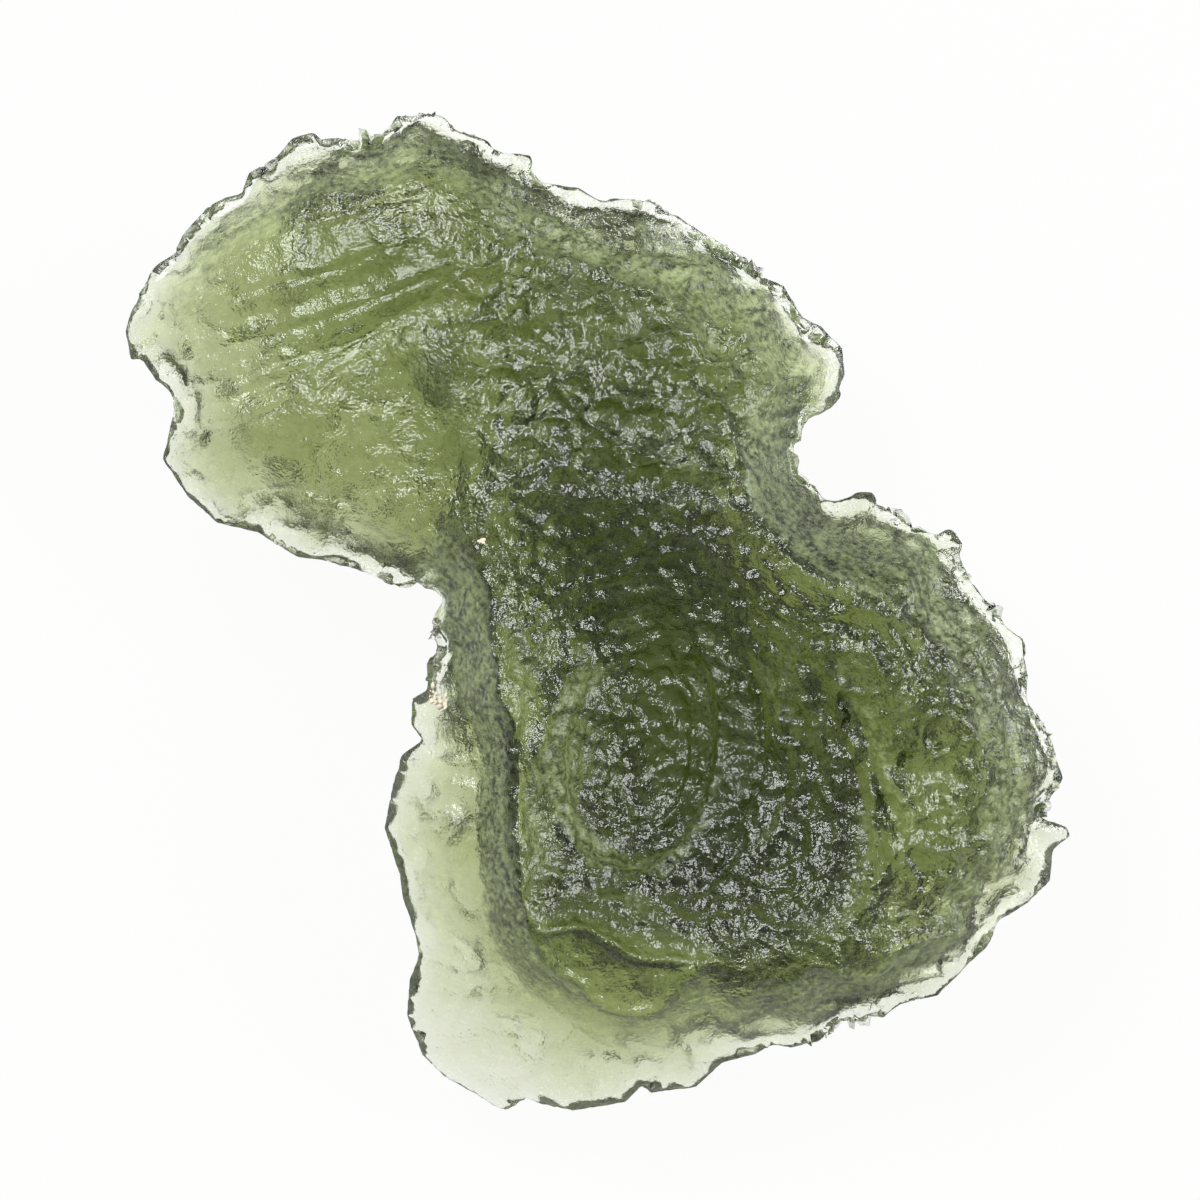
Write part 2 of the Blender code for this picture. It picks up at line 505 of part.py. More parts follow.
def triangles(rim, inner):
    """Triangles between the points, kept inside the rim."""
    spots = [Vector(point) for point in np.vstack([rim, inner])]
    count = len(rim)
    sides = [(k, (k + 1) % count) for k in range(count)]
    found = delaunay_2d_cdt(spots, sides, [], 1, 1e-6)
    faces, sources = found[2], found[3]
    return [[sources[corner][0] for corner in face] for face in faces]


def side_mesh(rim, step, extra):
    """Inner points of one side, with the triangles that join them to the rim."""
    inner = inner_points(rim, step, extra)
    return inner, triangles(rim, inner)


def stone_mesh():
    """The closed stone, resting on z = 0 and centred on the Z axis."""
    rim = straight_loop(OUTLINE, RIM_STEP)
    top, top_faces = side_mesh(rim, FRONT_STEP, crease_points())
    low, low_faces = side_mesh(rim, BACK_STEP, np.empty((0, 2)))
    everywhere = np.vstack([rim, top, low])
    inset = depth_inside(everywhere, rim)
    inset[:len(rim)] = 0.0
    upper, lower = thin_rim(front_height(everywhere), back_height(everywhere), inset)
    is_low = np.arange(len(everywhere)) >= len(rim) + len(top)
    height = np.where(is_low, lower, upper)
    centre = 0.5 * (rim.min(axis=0) + rim.max(axis=0))
    points = np.column_stack([everywhere - centre, height]) * METRES
    shift = len(top)
    faces = [tuple(face) for face in top_faces]
    for face in low_faces:
        moved = [corner if corner < len(rim) else corner + shift for corner in face]
        faces.append(tuple(reversed(moved)))
    mesh = bpy.data.meshes.new(NAME)
    mesh.from_pydata([tuple(point) for point in points], [], faces)
    mesh.validate()
    return mesh


def green_glass():
    """Clear olive-green glass with an etched skin."""
    material = bpy.data.materials.new("etched_green_glass")
    material.use_nodes = True
    shader = material.node_tree.nodes["Principled BSDF"]
    shader.inputs["Base Color"].default_value = GLASS_COLOUR
    shader.inputs["Roughness"].default_value = GLASS_ROUGHNESS
    shader.inputs["Metallic"].default_value = 0.0
    shader.inputs["IOR"].default_value = GLASS_IOR
    shader.inputs["Transmission Weight"].default_value = 1.0
    material.diffuse_color = GLASS_COLOUR
    return material


def build():
    """Make the stone and put it in the scene."""
    clear_scene()
    mesh = stone_mesh()
    mesh.materials.append(green_glass())
    stone = bpy.data.objects.new(NAME, mesh)
    bpy.context.scene.collection.objects.link(stone)
    return stone


build()
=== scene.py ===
"""The finished look of a moldavite: a natural piece of etched green glass on a pale light table."""

import bmesh
import bpy
import numpy as np
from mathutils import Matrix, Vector, noise
from mathutils.bvhtree import BVHTree


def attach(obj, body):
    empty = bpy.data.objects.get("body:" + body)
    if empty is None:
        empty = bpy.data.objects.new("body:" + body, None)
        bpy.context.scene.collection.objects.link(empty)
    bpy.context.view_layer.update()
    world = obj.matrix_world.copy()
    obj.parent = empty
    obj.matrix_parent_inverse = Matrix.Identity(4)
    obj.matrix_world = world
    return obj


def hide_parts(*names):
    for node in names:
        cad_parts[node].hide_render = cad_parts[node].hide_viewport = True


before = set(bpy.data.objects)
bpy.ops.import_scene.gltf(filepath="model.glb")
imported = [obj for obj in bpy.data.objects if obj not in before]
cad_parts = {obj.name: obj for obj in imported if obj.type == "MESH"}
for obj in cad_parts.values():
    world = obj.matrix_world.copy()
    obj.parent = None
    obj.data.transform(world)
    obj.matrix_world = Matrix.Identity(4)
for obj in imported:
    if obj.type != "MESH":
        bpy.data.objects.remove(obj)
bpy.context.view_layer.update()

# Lengths are in millimetres while the stone is shaped, and MM turns them into metres
MM = 0.001

# The photograph's frame: millimetres for each pixel, and the pixel over the stone's centre
PHOTO_SIZE = 1200
MM_PER_PIXEL = 0.032
CENTRE_PIXEL = (597.5, 615.5)
CAMERA_DISTANCE = 350.0
SHARP_LEVEL = 6.0
SENSOR = 36.0
NEAREST_SEEN = 0.01

# Fine skin of the stone
SKIN_CUTS = 4
SMOOTHING = 0.5
SMOOTHING_ROUNDS = 8
JOIN_WITHIN = 0.0001

# Thin glass is etched less deep, so that no cup goes through it: not at all at the least thickness,
# and fully at THICKNESS_RANGE more. It is measured up to MOST_THICKNESS, from just under the surface.
LEAST_THICKNESS = 0.15
THICKNESS_RANGE = 1.5
MOST_THICKNESS = 2.0
FEELER_DEPTH = 0.02

# The glass flowed in rings round the middle of the hollow, drawn out sideways on the upper lobe
FLOW_CENTRE = (1.7, -4.6)
LOBE_STRETCH = 0.45
# Where the drawn-out rings of the lobe begin, and over what distance
LOBE_SLANT = 0.7
LOBE_FROM = 8.0
LOBE_RANGE = 9.0
# How far the rings wander, and how many times in each millimetre
FLOW_SWAY = 3.0
FLOW_SWAY_COUNT = 0.28
# Lines across the flow, and changes along it, in each millimetre
LINES_COUNT = 4.0
ALONG_COUNT = 0.45

# Zones of the front
PITTED_MIDDLE = ((-4.9, 10.6), (-2.4, 12.6), (0.8, 12.2), (4.4, 11.0), (5.2, 8.6), (4.6, 5.2),
                 (3.8, 3.4), (0.5, 4.0), (-2.4, 5.2), (-3.4, 6.9), (-4.4, 8.4))
PITTED_RIGHT = ((7.2, 0.4), (10.0, 0.8), (12.4, -0.4), (13.6, -3.4), (14.4, -5.8), (13.4, -8.4),
                (10.6, -10.4), (8.6, -9.6), (8.6, -6.0), (7.2, -2.6))
HOLLOW = ((-2.4, 4.2), (1.0, 3.6), (4.6, 3.0), (7.4, -0.8), (8.4, -5.0), (8.0, -9.4), (5.2, -11.0),
          (2.4, -10.6), (-0.6, -9.8), (-2.2, -9.0), (-2.2, -3.4), (-3.2, 0.6))
CALM_FLANGE = ((-4.4, -6.4), (-2.8, -6.2), (-2.7, -9.8), (-4.8, -10.2), (-5.2, -8.0))
CALM_LOBE = ((-14.0, 8.2), (-12.0, 10.4), (-8.0, 12.2), (-5.6, 11.0), (-6.6, 9.8), (-10.0, 8.6),
             (-9.0, 5.0), (-12.2, 4.6))

# Smooth satin faces: the scallop in the notch, the grey facet by the lobe, the left tip and
# two on the right rim
SATIN_FACES = (
    ((5.0, 5.0), (5.4, 3.0), (7.2, 1.8), (8.8, 1.0), (9.9, 1.4), (9.6, 2.6), (8.0, 3.8), (6.4, 4.4)),
    ((-6.6, 8.4), (-5.0, 6.6), (-4.2, 4.6), (-3.8, 6.2), (-4.6, 7.6), (-6.0, 9.0)),
    ((-14.6, 10.4), (-14.4, 9.4), (-14.9, 8.0), (-14.2, 7.8), (-13.6, 9.0), (-13.2, 10.6), (-14.0, 11.0)),
    ((12.4, -0.4), (13.4, -2.4), (13.8, -3.8), (13.0, -3.6), (12.4, -2.0)),
    ((13.8, -3.6), (14.8, -5.2), (14.0, -6.0), (13.4, -4.8)),
)

# How softly the zones end, and how far apart the points of their outlines are
ZONE_EDGE = 0.8
FLANGE_EDGE = 0.6
SATIN_EDGE = 0.35
ZONE_STEP = 0.6
# How quickly the front turns into the back, and how far up the edge of the resting flat reaches
FRONT_TURN = 0.3
FLAT_EDGE = 0.5

# What each zone adds to the cups on it, over what they have everywhere
WIDE_SHARES = {"everywhere": 0.15, "middle": 0.85, "right": 0.35}
SMALL_SHARES = {"everywhere": 0.35, "right": 0.5, "hollow": 0.4, "middle": 0.3, "calm": -0.25}
# What is taken off outside the pitted zones, in the calm zones and on the satin faces
WIDE_LESS_ON_SATIN = 0.85
FINE_LESS_OUTSIDE = 0.45
FINE_LESS_ON_CALM = 0.4
FINE_LESS_ON_SATIN = 0.7
RAGGED_LESS_ON_CALM = 0.6
GRAIN_LESS_ON_CALM = 0.2

# A surface is steep where it faces less upwards than this, fully so after the range
STEEP_FACING = 0.90
STEEP_RANGE = 0.42
RIM_FACING = 0.75
RIM_RANGE = 0.6
# How dull the satin and the calm faces are beside steep ones
DULL_EVERYWHERE = 0.15
DULL_SATIN = 0.3
DULL_CALM = 0.15
DULL_LESS_ON_SATIN = 0.6

# Ridges and grooves too fine for the solid: width, height and points
FINE_LINES = (
    # bundles of flow lines over the upper lobe
    (0.13, -0.13, ((-13.6, 7.9), (-11.6, 8.6), (-9.0, 9.3), (-6.6, 10.2), (-4.8, 10.9))),
    (0.12, -0.12, ((-12.9, 7.2), (-11.0, 7.8), (-8.8, 8.4), (-6.6, 9.1))),
    (0.12, -0.11, ((-11.8, 6.9), (-9.6, 7.7), (-7.6, 8.8), (-5.6, 9.9))),
    (0.11, -0.10, ((-12.2, 10.0), (-10.0, 10.6), (-8.2, 11.0), (-6.4, 11.8))),
    (0.12, -0.10, ((-10.6, 12.4), (-8.6, 12.6), (-6.8, 13.1), (-5.2, 13.4))),
    (0.12, -0.10, ((-13.0, 5.8), (-11.6, 6.0), (-10.4, 6.5), (-9.4, 7.2))),
    (0.11, -0.10, ((-12.6, 3.6), (-10.8, 3.9), (-9.4, 4.0), (-7.6, 3.5))),
    (0.12, -0.11, ((-7.4, 2.4), (-6.6, 2.3), (-6.0, 2.5), (-5.2, 3.0))),
    # dark lines over the top of the middle
    (0.14, -0.16, ((-3.4, 13.6), (-1.8, 13.0), (-0.4, 12.2), (1.4, 11.6), (3.4, 11.6), (4.8, 11.2))),
    (0.12, -0.12, ((-4.8, 13.0), (-3.0, 12.4), (-1.4, 11.7), (0.4, 11.2))),
    (0.12, 0.12, ((-1.6, 7.6), (-0.6, 6.6), (0.2, 5.8), (1.7, 5.0), (3.2, 4.8))),
    # double grooves and long arcs on the right lobe
    (0.13, -0.18, ((8.6, -0.2), (9.2, -0.9), (9.7, -1.6))),
    (0.13, -0.18, ((9.1, 0.0), (9.7, -0.8), (10.2, -1.5))),
    (0.13, -0.16, ((7.6, -2.4), (8.4, -3.7), (9.0, -5.6), (9.7, -7.0))),
    (0.12, -0.14, ((6.9, -2.6), (7.8, -4.0), (8.4, -6.0), (8.6, -8.0))),
    (0.12, 0.12, ((10.9, -1.0), (11.7, -2.2), (12.5, -3.6), (12.9, -5.2))),
    (0.12, -0.12, ((11.6, -0.4), (12.4, -1.8), (13.0, -3.4), (13.3, -5.0))),
    # arcs in the hollow
    (0.16, 0.27, ((3.0, -0.6), (3.8, -1.9), (4.0, -3.3), (3.8, -5.4), (2.9, -7.3), (1.3, -8.5))),
    (0.14, 0.22, ((2.4, -1.8), (3.0, -2.8), (3.1, -4.2), (2.8, -5.8), (1.8, -7.0))),
    (0.14, -0.22, ((4.6, -1.2), (5.2, -3.0), (5.1, -5.4), (4.3, -7.6), (2.8, -9.2))),
    (0.14, 0.20, ((-0.4, -2.0), (-1.1, -3.6), (-1.2, -5.4), (-0.7, -7.2))),
    (0.13, 0.13, ((5.2, -2.4), (6.0, -2.6), (6.8, -2.7), (7.5, -2.6))),
    (0.13, 0.13, ((5.1, -3.1), (6.0, -3.4), (6.8, -3.5), (7.6, -3.4))),
    (0.12, 0.12, ((5.2, -3.8), (6.0, -4.1), (6.9, -4.2))),
    # pale crests on the ledges at the lower right
    (0.13, 0.20, ((7.1, -11.0), (8.1, -11.5), (9.0, -11.2), (9.8, -10.5), (12.1, -9.9))),
    (0.13, 0.18, ((7.1, -12.0), (8.7, -11.8), (10.6, -11.4), (11.6, -11.2))),
    # crest of the ledges below the hollow
    (0.14, 0.20, ((-2.0, -10.1), (-0.6, -9.9), (0.4, -10.4), (1.4, -10.9), (3.0, -10.9))),
    (0.13, 0.18, ((-1.5, -11.3), (-0.6, -11.6), (0.2, -12.4), (1.7, -12.6), (2.5, -11.8))),
    # inner edge of the bevel along the upper left rim
    (0.13, -0.18, ((-14.3, 10.4), (-13.4, 11.7), (-12.7, 12.5), (-11.4, 13.3), (-11.0, 14.0),
                   (-9.8, 14.9), (-8.1, 15.1), (-6.6, 14.9))),
)
# How far apart the points of a line are, how many widths its ridge reaches, how it fades at its
# ends, and how far the front turns away before the lines are gone
LINE_STEP = 0.3
LINE_REACH = 4.0
LINE_END = 0.8
LINE_END_SHARE = 0.1
LINES_FRONT = 0.25
# Shell-like rings, as x, y, first and last radius, spacing and height
FINE_RINGS = (
    (-3.1, -13.6, 0.4, 3.2, 0.62, 0.025),
    (10.8, -4.9, 1.2, 2.8, 0.48, 0.045),
)

# Colour of the glass: how strongly it takes light, and what it leaves of red, green and blue
GLASS_DENSITY = 740.0
GLASS_KEEPS = (0.43, 0.50, 0.06)
GLASS_IOR = 1.50

# Etched cups: where they are, how wide and deep they are, and a shift that gives new ones
ETCHINGS = (
    ("wide_cups", 1.10, 0.44, 3.0),
    ("small_cups", 0.62, 0.21, 11.0),
    ("fine_cups", 0.38, 0.09, 17.0),
    ("back_cups", 1.60, 0.34, 23.0),
    ("back_cups", 0.80, 0.16, 37.0),
)
# How far a cup reaches from its middle, in cup widths, and how the cups sway out of line
CUP_REACH = 0.75
CUP_SWAY_COUNT = 0.5
CUP_SWAY = (1.2, -0.9, 0.7)
GRAIN_HEIGHT = 0.030
RIM_HEIGHT = 0.07
GRAIN_WIDTH = 0.45
GRAIN_DETAIL = 3.0

# Finest relief, made in the material: shares of flow lines and grain
LINE_SHARE = 0.5
GRAIN_SHARE = 1.0
GRAIN_COUNT = 8.0
LINES_HARSHNESS = 0.55
GRAIN_HARSHNESS = 0.6
BUMP_STRENGTH = 1.0
BUMP_DEPTH = 0.05
ROUGH_LEAST = 0.10
ROUGH_MOST = 0.45

# Frost: glass etched so finely that it looks whitish
FROST_COLOUR = (0.70, 0.83, 0.38, 1.0)
FROST_ROUGHNESS = 0.8
FROST_TRANSMISSION = 0.35
FROST_LEAST = 0.07
FROST_MOST = 0.34
FROST_LESS_IN_HOLLOW = 0.5
FROST_LESS_ON_SATIN = 0.4
FROST_ON_SATIN = 0.10
FROST_THIN_GLASS = 0.3
# Its cloudy pattern: shares of the flow lines and of the clouds, and where frost starts and is full
FROST_COUNT = 5.0
FROST_DETAIL = 2.0
FROST_HARSHNESS = 0.65
FROST_LINES = 0.7
FROST_CLOUDS = 1.3
FROST_FROM = 0.70
FROST_FULL = 1.30

# Painted shade: the surface of the hollow is tinted darker towards its lower end, standing in for the dark
# look that thicker glass and light lost at steep walls give. The clear and the shaded tint, where the shade
# starts, and how far down it is full
CLEAR_COLOUR = (0.97, 0.98, 0.95, 1.0)
HOLLOW_SHADE_COLOUR = (0.16, 0.18, 0.13, 1.0)
HOLLOW_SHADE_TOP = 1.0
HOLLOW_SHADE_FALL = 9.0

# Floor and light
FLOOR_HALF = 600.0
FLOOR_LEVEL = -0.02
FLOOR_COLOUR = (0.02, 0.02, 0.02, 1.0)
FLOOR_ROUGHNESS = 0.9
FLOOR_GLOW_COLOUR = (1.0, 1.0, 0.995, 1.0)
FLOOR_GLOW = 0.95
WORLD_COLOUR = (1.0, 1.0, 0.97, 1.0)
WORLD_STRENGTH = 0.42
# name, place, size, power and colour
SOFT_LIGHTS = (
    ("top_left", (-160.0, 180.0, 320.0), 270.0, 2.6, (0.95, 0.98, 1.0)),
    ("right", (260.0, 40.0, 180.0), 200.0, 1.3, (0.95, 0.98, 1.0)),
)

# Specks of beige clay, as x, y and radius of each patch, and the size and number of its grains
CLAY_PATCHES = ((-5.0, -2.75, 0.42), (-5.25, -2.35, 0.22), (-3.68, 2.37, 0.16))
CLAY_GRAIN = 0.075
CLAY_CROWD = 60.0
CLAY_SEED = 5
# Grains thin out towards a patch's edge, and none stay where the surface hardly faces up
CLAY_FADE = 1.6
CLAY_FACING = 0.1
# Each grain is a lumpy ball of its own size, flattened and turned any way
CLAY_LUMPS = 1.3
CLAY_SUNK = 0.3
CLAY_LEAST = 0.35
CLAY_MOST = 1.3
CLAY_FLATNESS = 0.6
CLAY_TURN = (6.3, 6.3, 6.3)
CLAY_DARK = (0.42, 0.35, 0.25, 1.0)
CLAY_PALE = (0.76, 0.68, 0.56, 1.0)
CLAY_MOTTLE = 5.0
CLAY_ROUGHNESS = 0.95


class Wire:
    """An output socket of a node tree. Sums written with it add the nodes."""

    def __init__(self, tree, socket=None):
        self.tree = tree
        self.socket = socket

    def node(self, kind, settings=None, sockets=None, out=0):
        """Add a node: its settings first, then the values or links of its sockets."""
        made = self.tree.nodes.new(kind)
        for name, value in (settings or {}).items():
            setattr(made, name, value)
        for name, value in (sockets or {}).items():
            if isinstance(value, Wire):
                self.tree.links.new(value.socket, made.inputs[name])
            else:
                made.inputs[name].default_value = value
        return Wire(self.tree, made.outputs[out] if made.outputs else None)

    def sum(self, operation, *terms):
        return self.node("ShaderNodeMath", {"operation": operation}, dict(enumerate(terms)))

    def __add__(self, other):
        return self.sum("ADD", self, other)

    def __radd__(self, other):
        return self.sum("ADD", other, self)

    def __sub__(self, other):
        return self.sum("SUBTRACT", self, other)

    def __rsub__(self, other):
        return self.sum("SUBTRACT", other, self)

    def __mul__(self, other):
        return self.sum("MULTIPLY", self, other)

    def __rmul__(self, other):
        return self.sum("MULTIPLY", other, self)

    def __truediv__(self, other):
        return self.sum("DIVIDE", self, other)

    def __rtruediv__(self, other):
        return self.sum("DIVIDE", other, self)

    def at_least(self, least):
        return self.sum("MAXIMUM", self, least)

    def ease(self, low, high):
        """0 below low, 1 above high, and smooth between them."""
        ranges = {"Value": self, "From Min": low, "From Max": high}
        return self.node("ShaderNodeMapRange", {"interpolation_type": "SMOOTHSTEP"}, ranges)

    def output(self, name):
        """Another output of the node that this one comes from."""
        return Wire(self.tree, self.socket.node.outputs[name])

    def axis(self, name):
        """One part of a vector."""
        return self.node("ShaderNodeSeparateXYZ", sockets={"Vector": self}, out=name)

    def moved(self, offset):
        return self.node("ShaderNodeVectorMath", {"operation": "ADD"}, {0: self, 1: offset})

    def scaled(self, factor):
        return self.node("ShaderNodeVectorMath", {"operation": "SCALE"}, {0: self, "Scale": factor})

    def joined(self, x, y, z):
        return self.node("ShaderNodeCombineXYZ", sockets={"X": x, "Y": y, "Z": z})

    def mixed(self, share, first, second):
        """A colour between two, by a share from 0 to 1."""
        return self.node("ShaderNodeMix", {"data_type": "RGBA"}, {0: share, 6: first, 7: second}, out=2)

    def finished(self, material):
        """End a geometry tree: copies made real, and the material given."""
        real = self.node("GeometryNodeRealizeInstances", sockets={"Geometry": self})
        dressed = self.node("GeometryNodeSetMaterial", sockets={"Geometry": real, "Material": material})
        self.node("NodeGroupOutput", sockets={"Shape": dressed})

    def noise(self, scale, detail=2.0, roughness=0.5):
        """Cloudy pattern over this vector, from 0 to 1."""
        sizes = {"Vector": self, "Scale": scale, "Detail": detail, "Roughness": roughness}
        return self.node("ShaderNodeTexNoise", sockets=sizes)

    def cells(self, scale, randomness=0.9):
        """Distance to the nearest of many scattered points, over this vector."""
        sizes = {"Vector": self, "Scale": scale, "Randomness": randomness}
        return self.node("ShaderNodeTexVoronoi", sockets=sizes)


def smooth_step(value):
    """Ease from 0 to 1."""
    t = np.clip(value, 0.0, 1.0)
    return t * t * (3.0 - 2.0 * t)


def smooth_line(points, step, closed=False):
    """Evenly spaced points on a smooth curve through the given ones."""
    p = np.array(points, dtype=float)
    if closed:
        p = np.vstack([p[-1], p, p[0], p[1]])
    else:
        p = np.vstack([2.0 * p[0] - p[1], p, 2.0 * p[-1] - p[-2]])
    pieces = []
    for a, b, c, d in zip(p[:-3], p[1:-2], p[2:-1], p[3:]):
        count = max(1, round(float(np.linalg.norm(c - b)) / step))
        t = np.arange(count)[:, None] / count
        curl = 2.0 * a - 5.0 * b + 4.0 * c - d + t * (3.0 * b - a - 3.0 * c + d)
        pieces.append(b + 0.5 * t * (c - a + t * curl))
    if not closed:
        pieces.append(p[-2:-1])
    return np.vstack(pieces)


def distance_to_line(xy, line, closed=False):
    """Distance from each point to a line of straight pieces."""
    start = line if closed else line[:-1]
    end = np.roll(line, -1, axis=0) if closed else line[1:]
    nearest = np.full(len(xy), 1e9)
    for a, b in zip(start, end):
        run = b - a
        along = np.clip((xy - a) @ run / (run @ run), 0.0, 1.0)
        gap = xy - a - along[:, None] * run
        nearest = np.minimum(nearest, np.sum(gap * gap, axis=1))
    return np.sqrt(nearest)


def zone_share(xy, zone, soft):
    """1 inside a zone of the front and 0 outside it."""
    loop = smooth_line(zone, ZONE_STEP, closed=True)
    inside = np.zeros(len(xy), dtype=bool)
    for a, b in zip(loop, np.roll(loop, -1, axis=0)):
        spans = (a[1] > xy[:, 1]) != (b[1] > xy[:, 1])
        rise = b[1] - a[1] if abs(b[1] - a[1]) > 1e-9 else 1.0
        cross = a[0] + (xy[:, 1] - a[1]) * (b[0] - a[0]) / rise
        inside ^= spans & (xy[:, 0] < cross)
    depth = distance_to_line(xy, loop, closed=True) * np.where(inside, 1.0, -1.0)
    return smooth_step(0.5 + 0.5 * depth / soft)


def line_relief(xy):
    """Height of the fine ridges and grooves."""
    total = np.zeros(len(xy))
    for width, height, points in FINE_LINES:
        line = smooth_line(points, LINE_STEP)
        low = line.min(axis=0) - LINE_REACH * width
        high = line.max(axis=0) + LINE_REACH * width
        near = np.all((xy > low) & (xy < high), axis=1)
        spots = xy[near]
        gap = distance_to_line(spots, line)
        first = np.linalg.norm(spots - line[0], axis=1)
        last = np.linalg.norm(spots - line[-1], axis=1)
        faded = smooth_step(np.minimum(first, last) / LINE_END + LINE_END_SHARE)
        total[near] += height * np.exp(-(gap / width) ** 2) * faded
    return total


def ring_relief(xy):
    """Height of the shell-like rings."""
    total = np.zeros(len(xy))
    for x, y, first, last, spacing, height in FINE_RINGS:
        radius = np.linalg.norm(xy - (x, y), axis=1)
        share = smooth_step((radius - first) / spacing) * smooth_step((last - radius) / spacing)
        total += height * share * (1.0 - 2.0 * np.abs((radius / spacing) % 1.0 - 0.5) * 2.0)
    return total


def coordinates(mesh):
    """Every vertex of a mesh."""
    flat = np.empty(len(mesh.vertices) * 3)
    mesh.vertices.foreach_get("co", flat)
    return flat.reshape(-1, 3)


def normals(mesh):
    """The direction that the mesh faces at each vertex."""
    flat = np.empty(len(mesh.vertices) * 3)
    mesh.vertices.foreach_get("normal", flat)
    return flat.reshape(-1, 3)


def place(mesh, points):
    """Move every vertex of a mesh."""
    mesh.vertices.foreach_set("co", np.ascontiguousarray(points).ravel())
    mesh.update()


def attribute(mesh, name, values):
    """Keep a number for each vertex."""
    made = mesh.attributes.new(name, "FLOAT", "POINT")
    made.data.foreach_set("value", np.ascontiguousarray(values, dtype=np.float32))


def bake(thing):
    """Turn an object with modifiers into one with a plain mesh."""
    shown = thing.evaluated_get(bpy.context.evaluated_depsgraph_get())
    mesh = bpy.data.meshes.new_from_object(shown)
    thing.modifiers.clear()
    old = thing.data
    thing.data = mesh
    bpy.data.meshes.remove(old)
    return thing


def shown_object(name, mesh):
    """An object in the scene."""
    thing = bpy.data.objects.new(name, mesh)
    bpy.context.scene.collection.objects.link(thing)
    return thing


def fine_skin(name):
    """A copy of the solid with each triangle parted into many, smoothed, in millimetres."""
    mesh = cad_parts["moldavite"].data.copy()
    mesh.materials.clear()
    place(mesh, coordinates(mesh) / MM)
    shape = bmesh.new()
    shape.from_mesh(mesh)
    bmesh.ops.remove_doubles(shape, verts=shape.verts, dist=JOIN_WITHIN)
    bmesh.ops.subdivide_edges(shape, edges=shape.edges, cuts=SKIN_CUTS, use_grid_fill=True)
    shape.to_mesh(mesh)
    shape.free()
    stone = shown_object(name, mesh)
    soften = stone.modifiers.new("soften", "SMOOTH")
    soften.factor = SMOOTHING
    soften.iterations = SMOOTHING_ROUNDS
    return bake(stone)


def thickness(mesh):
    """How much glass lies behind each vertex."""
    points = coordinates(mesh)
    facing = normals(mesh)
    shape = bmesh.new()
    shape.from_mesh(mesh)
    walls = BVHTree.FromBMesh(shape)
    shape.free()
    found = []
    for point, outwards in zip(points, facing):
        hit = walls.ray_cast(Vector(point - FEELER_DEPTH * outwards), Vector(-outwards), MOST_THICKNESS)
        found.append(MOST_THICKNESS if hit[3] is None else hit[3])
    return np.array(found)


def carve_lines(mesh):
    """Cut the fine lines and rings into the front."""
    points = coordinates(mesh)
    facing = normals(mesh)
    xy = points[:, :2]
    front = smooth_step(facing[:, 2] / LINES_FRONT)
    height = (line_relief(xy) + ring_relief(xy)) * front
    place(mesh, points + facing * height[:, None])


def cup_share(shares, zones):
    """How strongly cups are etched, from what each zone adds."""
    total = shares["everywhere"]
    for name, zone in zones.items():
        total = total + shares.get(name, 0.0) * zone
    return np.clip(total, 0.0, 1.0)


def mark_zones(mesh):
    """Keep how each vertex is etched and frosted, and how much painted shade darkens it."""
    points = coordinates(mesh)
    facing = normals(mesh)
    xy = points[:, :2]
    front = smooth_step(0.5 + facing[:, 2] / FRONT_TURN)
    middle = zone_share(xy, PITTED_MIDDLE, ZONE_EDGE)
    right = zone_share(xy, PITTED_RIGHT, ZONE_EDGE)
    hollow = zone_share(xy, HOLLOW, ZONE_EDGE)
    calm = np.maximum(zone_share(xy, CALM_FLANGE, FLANGE_EDGE), zone_share(xy, CALM_LOBE, ZONE_EDGE))
    zones = {"middle": middle, "right": right, "hollow": hollow, "calm": calm}
    grounded = smooth_step(points[:, 2] / FLAT_EDGE)
    room = smooth_step((thickness(mesh) - LEAST_THICKNESS) / THICKNESS_RANGE)
    satin = np.max([zone_share(xy, zone, SATIN_EDGE) for zone in SATIN_FACES], axis=0) * front
    upright = np.abs(facing[:, 2])
    steep = grounded * smooth_step((STEEP_FACING - upright) / STEEP_RANGE)

    cups = room * front * (1.0 - WIDE_LESS_ON_SATIN * satin)
    outside = front * (1.0 - np.max([middle, right, hollow], axis=0))
    smoother = np.maximum(FINE_LESS_ON_CALM * calm * front, FINE_LESS_ON_SATIN * satin)
    attribute(mesh, "wide_cups", cups * cup_share(WIDE_SHARES, zones))
    attribute(mesh, "small_cups", cups * cup_share(SMALL_SHARES, zones))
    attribute(mesh, "fine_cups", room * grounded * (1.0 - FINE_LESS_OUTSIDE * outside) * (1.0 - smoother))
    attribute(mesh, "back_cups", room * (1.0 - front) * grounded)
    attribute(mesh, "ragged", grounded * (1.0 - RAGGED_LESS_ON_CALM * calm * front))
    attribute(mesh, "rim", grounded * smooth_step((RIM_FACING - upright) / RIM_RANGE))

    dull = np.max([DULL_SATIN * satin, DULL_CALM * calm * front,
                   steep * (1.0 - DULL_LESS_ON_SATIN * satin)], axis=0)
    attribute(mesh, "satin", DULL_EVERYWHERE + (1.0 - DULL_EVERYWHERE) * dull)
    frosted = np.maximum(steep * (1.0 - FROST_LESS_ON_SATIN * satin), FROST_ON_SATIN * satin)
    frost = FROST_LEAST * (1.0 - FROST_LESS_IN_HOLLOW * hollow) + (FROST_MOST - FROST_LEAST) * frosted
    attribute(mesh, "frost", frost * (FROST_THIN_GLASS + (1.0 - FROST_THIN_GLASS) * room))
    # Painted shade: how much darker the glass surface is tinted towards the lower end of the hollow
    attribute(mesh, "hollow_shade", hollow * front * smooth_step((HOLLOW_SHADE_TOP - xy[:, 1]) / HOLLOW_SHADE_FALL))
    attribute(mesh, "across", flow_rings(points))
    attribute(mesh, "etched", 1.0 - GRAIN_LESS_ON_CALM * np.maximum(satin, calm * front))


